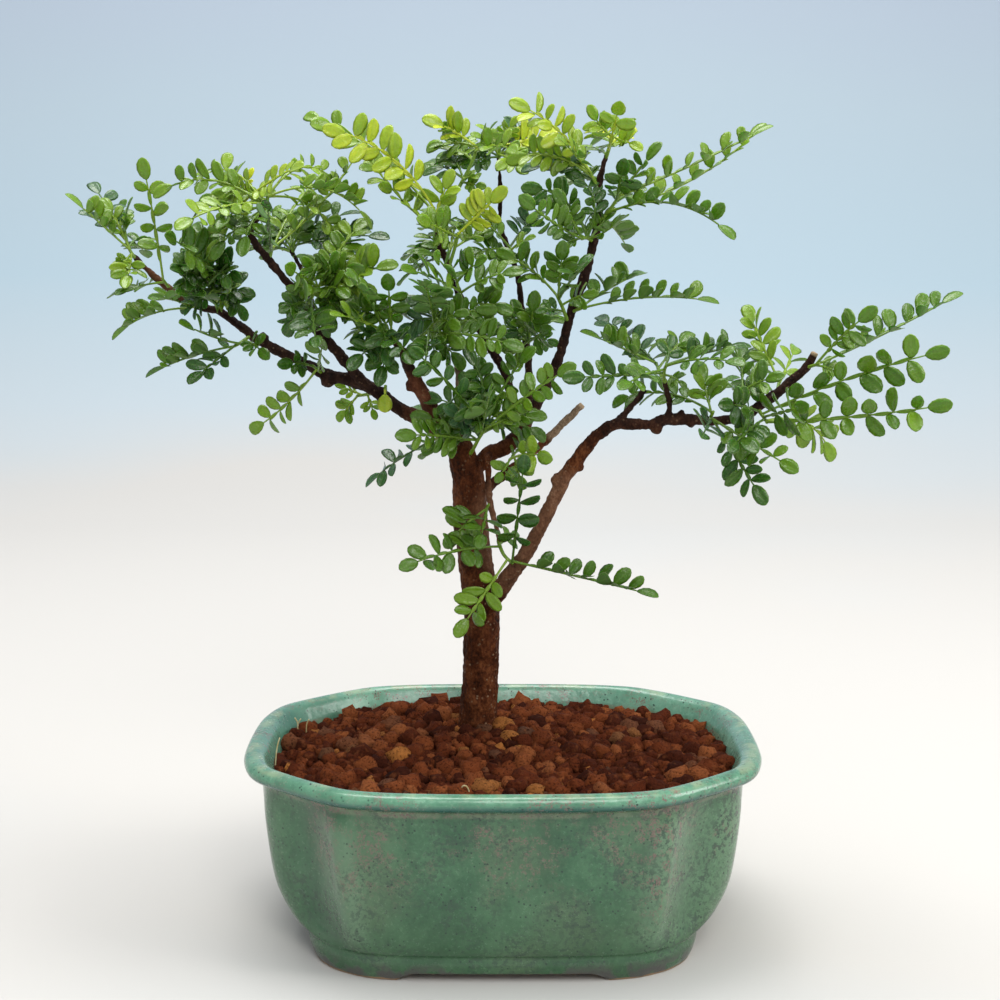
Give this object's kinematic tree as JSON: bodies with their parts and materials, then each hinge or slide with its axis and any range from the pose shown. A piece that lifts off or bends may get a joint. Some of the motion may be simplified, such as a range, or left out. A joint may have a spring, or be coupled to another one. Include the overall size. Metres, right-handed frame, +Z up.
{
  "type": "potted bonsai tree",
  "caption": "Small bonsai with a slim forked trunk, arching side branches and fine feathery compound leaves, in an oblong glazed pot filled with porous clay grains.",
  "frame": {"origin": "on the ground under the middle of the tree's and pot's bounding box, which is the pot's middle", "axes": "+X to the viewer's right along the pot's long side, +Y away from the viewer, +Z up"},
  "size_m": [0.3193, 0.133, 0.2997],
  "materials": {
    "glaze": "glossy mottled jade green glaze with dark specks",
    "soil": "dry porous reddish brown clay grains",
    "bark": "fine rough brown bark with pale pores",
    "leaf": "thin glossy green leaf blades",
    "drain_mesh": "coarse plastic mesh"
  },
  "bodies": {
    "root": {"drain_mesh_left": "drain_mesh", "drain_mesh_right": "drain_mesh", "pot": "glaze", "shoot_centre_fan": "leaf", "shoot_centre_left_back": "leaf", "shoot_centre_low": "leaf", "shoot_centre_mid": "leaf", "shoot_centre_top": "leaf", "shoot_front_left": "leaf", "shoot_front_right": "leaf", "shoot_hang_pale": "leaf", "shoot_left_arch": "leaf", "shoot_left_crown": "leaf", "shoot_left_dark": "leaf", "shoot_left_end": "leaf", "shoot_left_long": "leaf", "shoot_left_low": "leaf", "shoot_left_round": "leaf", "shoot_left_teal": "leaf", "shoot_left_top": "leaf", "shoot_left_under": "leaf", "shoot_left_upright": "leaf", "shoot_low_end": "leaf", "shoot_low_front": "leaf", "shoot_low_left": "leaf", "shoot_low_right": "leaf", "shoot_mid_left": "leaf", "shoot_right_back": "leaf", "shoot_right_cross": "leaf", "shoot_right_end": "leaf", "shoot_right_fans": "leaf", "shoot_right_lower": "leaf", "shoot_right_mid": "leaf", "shoot_right_pair": "leaf", "shoot_right_pale": "leaf", "shoot_right_spread": "leaf", "shoot_right_sweep": "leaf", "shoot_right_upper": "leaf", "shoot_thin_left_tip": "leaf", "shoot_top_left": "leaf", "shoot_top_right": "leaf", "shoot_top_young": "leaf", "shoot_upper_star": "leaf", "shoot_yellow_leaflet": "leaf", "soil": "soil", "wood": "bark"}
  },
  "joints": []
}
